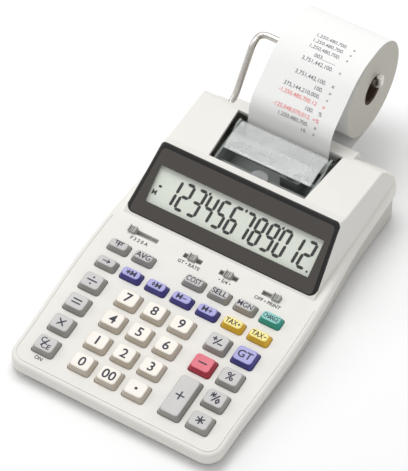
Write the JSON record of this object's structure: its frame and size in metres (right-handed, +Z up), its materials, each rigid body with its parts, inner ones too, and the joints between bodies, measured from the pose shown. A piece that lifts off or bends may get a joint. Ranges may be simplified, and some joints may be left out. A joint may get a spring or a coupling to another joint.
{
  "type": "printing calculator",
  "caption": "Desktop printing calculator with tilted keyboard, sloping display window, printer bay under a clear lid and a paper roll on a wire arm behind.",
  "frame": {"origin": "on the desk, under the middle of the whole machine's box, paper roll included", "axes": "+Z up, +Y to the rear where the paper roll is, +X to the user's right"},
  "size_m": [0.1502, 0.296, 0.0897],
  "materials": {
    "case_white": "fine-textured warm white moulded plastic",
    "case_base": "fine-textured light grey moulded plastic",
    "window_smoke": "smoked clear acrylic with a black printed border",
    "lcd_glass": "liquid crystal panel, pale grey-green",
    "board_green": "solder-masked circuit board",
    "membrane_rubber": "grey silicone rubber",
    "key_grey": "satin grey keycap plastic",
    "key_ivory": "satin ivory keycap plastic",
    "key_lilac": "satin lilac-blue keycap plastic",
    "key_yellow": "satin yellow keycap plastic",
    "key_green": "satin sea-green keycap plastic",
    "key_red": "satin red keycap plastic",
    "knob_grey": "satin grey switch knob",
    "printer_grey": "dark grey-green glass-filled plastic",
    "cover_clear": "clear acrylic",
    "roller_rubber": "black rubber on a steel shaft",
    "motor_steel": "zinc-plated motor can",
    "pinion_nylon": "natural nylon",
    "ink_felt": "inked porous rubber",
    "wire_steel": "plated steel wire",
    "paper": "plain white roll paper",
    "foot_rubber": "black rubber",
    "screw_steel": "zinc-plated steel",
    "jack_plastic": "black plastic socket with a plated pin"
  },
  "bodies": {
    "case": {"adaptor_jack": "jack_plastic", "case_screws": "screw_steel", "display_window": "window_smoke", "drive_motor": "motor_steel", "key_membrane": "membrane_rubber", "lcd_panel": "lcd_glass", "lower_case": "case_base", "main_board": "board_green", "paper_tape": "paper", "printer_frame": "printer_grey", "rubber_feet": "foot_rubber", "upper_case": "case_white"},
    "key_0_body": {"key_0": "key_ivory"},
    "key_00_body": {"key_00": "key_ivory"},
    "key_1_body": {"key_1": "key_ivory"},
    "key_2_body": {"key_2": "key_ivory"},
    "key_3_body": {"key_3": "key_ivory"},
    "key_4_body": {"key_4": "key_ivory"},
    "key_5_body": {"key_5": "key_ivory"},
    "key_6_body": {"key_6": "key_ivory"},
    "key_7_body": {"key_7": "key_ivory"},
    "key_8_body": {"key_8": "key_ivory"},
    "key_9_body": {"key_9": "key_ivory"},
    "key_average_body": {"key_average": "key_grey"},
    "key_change_body": {"key_change": "key_green"},
    "key_clear_body": {"key_clear": "key_grey"},
    "key_cost_body": {"key_cost": "key_grey"},
    "key_divide_body": {"key_divide": "key_grey"},
    "key_equals_body": {"key_equals": "key_grey"},
    "key_grand_total_body": {"key_grand_total": "key_lilac"},
    "key_margin_body": {"key_margin": "key_grey"},
    "key_memory_minus_body": {"key_memory_minus": "key_lilac"},
    "key_memory_plus_body": {"key_memory_plus": "key_lilac"},
    "key_memory_subtotal_body": {"key_memory_subtotal": "key_lilac"},
    "key_memory_total_body": {"key_memory_total": "key_lilac"},
    "key_minus_body": {"key_minus": "key_red"},
    "key_multiply_body": {"key_multiply": "key_grey"},
    "key_paper_feed_body": {"key_paper_feed": "key_grey"},
    "key_percent_body": {"key_percent": "key_grey"},
    "key_plus_body": {"key_plus": "key_grey"},
    "key_point_body": {"key_point": "key_ivory"},
    "key_sell_body": {"key_sell": "key_grey"},
    "key_shift_body": {"key_shift": "key_grey"},
    "key_sign_body": {"key_sign": "key_grey"},
    "key_subtotal_body": {"key_subtotal": "key_grey"},
    "key_tax_minus_body": {"key_tax_minus": "key_yellow"},
    "key_tax_plus_body": {"key_tax_plus": "key_yellow"},
    "key_total_body": {"key_total": "key_grey"},
    "switch_decimal_body": {"switch_decimal": "knob_grey"},
    "switch_power_body": {"switch_power": "knob_grey"},
    "switch_rate_body": {"switch_rate": "knob_grey"},
    "switch_rounding_body": {"switch_rounding": "knob_grey"},
    "lid": {"printer_cover": "cover_clear"},
    "carriage": {"print_carriage": "printer_grey"},
    "ink": {"ink_roller": "ink_felt"},
    "platen": {"platen_roller": "roller_rubber"},
    "pinion": {"motor_pinion": "pinion_nylon"},
    "arm": {"paper_arm": "wire_steel"},
    "roll": {"paper_roll": "paper"},
    "door": {"battery_door": "case_base"}
  },
  "joints": [
    {"name": "cover_hinge", "type": "hinge", "parent": "case", "child": "lid", "pos_m": [0, 0.056, 0.0472], "axis": [-1, 0, 0], "range_deg": [0, 70]},
    {"name": "arm_lift", "type": "hinge", "parent": "case", "child": "arm", "pos_m": [-0.045, 0.0734, 0.0275], "axis": [1, 0, 0], "range_deg": [0, 26], "deforming": ["paper_tape"]},
    {"name": "roll_spin", "type": "hinge", "parent": "arm", "child": "roll", "pos_m": [0, 0.1153, 0.0565], "axis": [1, 0, 0], "continuous": true},
    {"name": "platen_spin", "type": "hinge", "parent": "case", "child": "platen", "pos_m": [0, 0.0635, 0.0327], "axis": [1, 0, 0], "continuous": true},
    {"name": "pinion_spin", "type": "hinge", "parent": "case", "child": "pinion", "pos_m": [0.038, 0.04975, 0.0327], "axis": [1, 0, 0], "continuous": true},
    {"name": "carriage_slide", "type": "slide", "parent": "case", "child": "carriage", "axis": [1, 0, 0], "range_m": [-0.0385, 0.0085]},
    {"name": "ink_roller_spin", "type": "hinge", "parent": "case", "child": "ink", "pos_m": [-0.002, 0.028, 0.0393], "axis": [0, 0, 1], "continuous": true},
    {"name": "door_slide", "type": "slide", "parent": "case", "child": "door", "axis": [0, 1, 0], "range_m": [0, 0.008]},
    {"name": "switch_decimal_slide", "type": "slide", "parent": "case", "child": "switch_decimal_body", "axis": [1, 0, 0], "range_m": [-0.00355, 0.00355]},
    {"name": "switch_power_slide", "type": "slide", "parent": "case", "child": "switch_power_body", "axis": [1, 0, 0], "range_m": [-0.0071, 0]},
    {"name": "switch_rate_slide", "type": "slide", "parent": "case", "child": "switch_rate_body", "axis": [1, 0, 0], "range_m": [-0.00355, 0.00355]},
    {"name": "switch_rounding_slide", "type": "slide", "parent": "case", "child": "switch_rounding_body", "axis": [1, 0, 0], "range_m": [0, 0.0149]},
    {"name": "key_0_press", "type": "slide", "parent": "case", "child": "key_0_body", "axis": [0, 0.0872, -0.9962], "range_m": [0, 0.002], "stiffness_N_per_m": 260, "springref_m": -0.0015},
    {"name": "key_00_press", "type": "slide", "parent": "case", "child": "key_00_body", "axis": [0, 0.0872, -0.9962], "range_m": [0, 0.002], "stiffness_N_per_m": 260, "springref_m": -0.0015},
    {"name": "key_1_press", "type": "slide", "parent": "case", "child": "key_1_body", "axis": [0, 0.0872, -0.9962], "range_m": [0, 0.002], "stiffness_N_per_m": 260, "springref_m": -0.0015},
    {"name": "key_2_press", "type": "slide", "parent": "case", "child": "key_2_body", "axis": [0, 0.0872, -0.9962], "range_m": [0, 0.002], "stiffness_N_per_m": 260, "springref_m": -0.0015},
    {"name": "key_3_press", "type": "slide", "parent": "case", "child": "key_3_body", "axis": [0, 0.0872, -0.9962], "range_m": [0, 0.002], "stiffness_N_per_m": 260, "springref_m": -0.0015},
    {"name": "key_4_press", "type": "slide", "parent": "case", "child": "key_4_body", "axis": [0, 0.0872, -0.9962], "range_m": [0, 0.002], "stiffness_N_per_m": 260, "springref_m": -0.0015},
    {"name": "key_5_press", "type": "slide", "parent": "case", "child": "key_5_body", "axis": [0, 0.0872, -0.9962], "range_m": [0, 0.002], "stiffness_N_per_m": 260, "springref_m": -0.0015},
    {"name": "key_6_press", "type": "slide", "parent": "case", "child": "key_6_body", "axis": [0, 0.0872, -0.9962], "range_m": [0, 0.002], "stiffness_N_per_m": 260, "springref_m": -0.0015},
    {"name": "key_7_press", "type": "slide", "parent": "case", "child": "key_7_body", "axis": [0, 0.0872, -0.9962], "range_m": [0, 0.002], "stiffness_N_per_m": 260, "springref_m": -0.0015},
    {"name": "key_8_press", "type": "slide", "parent": "case", "child": "key_8_body", "axis": [0, 0.0872, -0.9962], "range_m": [0, 0.002], "stiffness_N_per_m": 260, "springref_m": -0.0015},
    {"name": "key_9_press", "type": "slide", "parent": "case", "child": "key_9_body", "axis": [0, 0.0872, -0.9962], "range_m": [0, 0.002], "stiffness_N_per_m": 260, "springref_m": -0.0015},
    {"name": "key_average_press", "type": "slide", "parent": "case", "child": "key_average_body", "axis": [0, 0.0872, -0.9962], "range_m": [0, 0.002], "stiffness_N_per_m": 260, "springref_m": -0.0015},
    {"name": "key_change_press", "type": "slide", "parent": "case", "child": "key_change_body", "axis": [0, 0.0872, -0.9962], "range_m": [0, 0.002], "stiffness_N_per_m": 260, "springref_m": -0.0015},
    {"name": "key_clear_press", "type": "slide", "parent": "case", "child": "key_clear_body", "axis": [0, 0.0872, -0.9962], "range_m": [0, 0.002], "stiffness_N_per_m": 260, "springref_m": -0.0015},
    {"name": "key_cost_press", "type": "slide", "parent": "case", "child": "key_cost_body", "axis": [0, 0.0872, -0.9962], "range_m": [0, 0.002], "stiffness_N_per_m": 260, "springref_m": -0.0015},
    {"name": "key_divide_press", "type": "slide", "parent": "case", "child": "key_divide_body", "axis": [0, 0.0872, -0.9962], "range_m": [0, 0.002], "stiffness_N_per_m": 260, "springref_m": -0.0015},
    {"name": "key_equals_press", "type": "slide", "parent": "case", "child": "key_equals_body", "axis": [0, 0.0872, -0.9962], "range_m": [0, 0.002], "stiffness_N_per_m": 260, "springref_m": -0.0015},
    {"name": "key_grand_total_press", "type": "slide", "parent": "case", "child": "key_grand_total_body", "axis": [0, 0.0872, -0.9962], "range_m": [0, 0.002], "stiffness_N_per_m": 260, "springref_m": -0.0015},
    {"name": "key_margin_press", "type": "slide", "parent": "case", "child": "key_margin_body", "axis": [0, 0.0872, -0.9962], "range_m": [0, 0.002], "stiffness_N_per_m": 260, "springref_m": -0.0015},
    {"name": "key_memory_minus_press", "type": "slide", "parent": "case", "child": "key_memory_minus_body", "axis": [0, 0.0872, -0.9962], "range_m": [0, 0.002], "stiffness_N_per_m": 260, "springref_m": -0.0015},
    {"name": "key_memory_plus_press", "type": "slide", "parent": "case", "child": "key_memory_plus_body", "axis": [0, 0.0872, -0.9962], "range_m": [0, 0.002], "stiffness_N_per_m": 260, "springref_m": -0.0015},
    {"name": "key_memory_subtotal_press", "type": "slide", "parent": "case", "child": "key_memory_subtotal_body", "axis": [0, 0.0872, -0.9962], "range_m": [0, 0.002], "stiffness_N_per_m": 260, "springref_m": -0.0015},
    {"name": "key_memory_total_press", "type": "slide", "parent": "case", "child": "key_memory_total_body", "axis": [0, 0.0872, -0.9962], "range_m": [0, 0.002], "stiffness_N_per_m": 260, "springref_m": -0.0015},
    {"name": "key_minus_press", "type": "slide", "parent": "case", "child": "key_minus_body", "axis": [0, 0.0872, -0.9962], "range_m": [0, 0.002], "stiffness_N_per_m": 260, "springref_m": -0.0015},
    {"name": "key_multiply_press", "type": "slide", "parent": "case", "child": "key_multiply_body", "axis": [0, 0.0872, -0.9962], "range_m": [0, 0.002], "stiffness_N_per_m": 260, "springref_m": -0.0015},
    {"name": "key_paper_feed_press", "type": "slide", "parent": "case", "child": "key_paper_feed_body", "axis": [0, 0.0872, -0.9962], "range_m": [0, 0.002], "stiffness_N_per_m": 260, "springref_m": -0.0015},
    {"name": "key_percent_press", "type": "slide", "parent": "case", "child": "key_percent_body", "axis": [0, 0.0872, -0.9962], "range_m": [0, 0.002], "stiffness_N_per_m": 260, "springref_m": -0.0015},
    {"name": "key_plus_press", "type": "slide", "parent": "case", "child": "key_plus_body", "axis": [0, 0.0872, -0.9962], "range_m": [0, 0.002], "stiffness_N_per_m": 260, "springref_m": -0.0015},
    {"name": "key_point_press", "type": "slide", "parent": "case", "child": "key_point_body", "axis": [0, 0.0872, -0.9962], "range_m": [0, 0.002], "stiffness_N_per_m": 260, "springref_m": -0.0015},
    {"name": "key_sell_press", "type": "slide", "parent": "case", "child": "key_sell_body", "axis": [0, 0.0872, -0.9962], "range_m": [0, 0.002], "stiffness_N_per_m": 260, "springref_m": -0.0015},
    {"name": "key_shift_press", "type": "slide", "parent": "case", "child": "key_shift_body", "axis": [0, 0.0872, -0.9962], "range_m": [0, 0.002], "stiffness_N_per_m": 260, "springref_m": -0.0015},
    {"name": "key_sign_press", "type": "slide", "parent": "case", "child": "key_sign_body", "axis": [0, 0.0872, -0.9962], "range_m": [0, 0.002], "stiffness_N_per_m": 260, "springref_m": -0.0015},
    {"name": "key_subtotal_press", "type": "slide", "parent": "case", "child": "key_subtotal_body", "axis": [0, 0.0872, -0.9962], "range_m": [0, 0.002], "stiffness_N_per_m": 260, "springref_m": -0.0015},
    {"name": "key_tax_minus_press", "type": "slide", "parent": "case", "child": "key_tax_minus_body", "axis": [0, 0.0872, -0.9962], "range_m": [0, 0.002], "stiffness_N_per_m": 260, "springref_m": -0.0015},
    {"name": "key_tax_plus_press", "type": "slide", "parent": "case", "child": "key_tax_plus_body", "axis": [0, 0.0872, -0.9962], "range_m": [0, 0.002], "stiffness_N_per_m": 260, "springref_m": -0.0015},
    {"name": "key_total_press", "type": "slide", "parent": "case", "child": "key_total_body", "axis": [0, 0.0872, -0.9962], "range_m": [0, 0.002], "stiffness_N_per_m": 260, "springref_m": -0.0015}
  ],
  "couplings": [
    {"joint": "platen_spin", "follows": "roll_spin", "ratio": 6.3333},
    {"joint": "pinion_spin", "follows": "roll_spin", "ratio": -15.2}
  ]
}
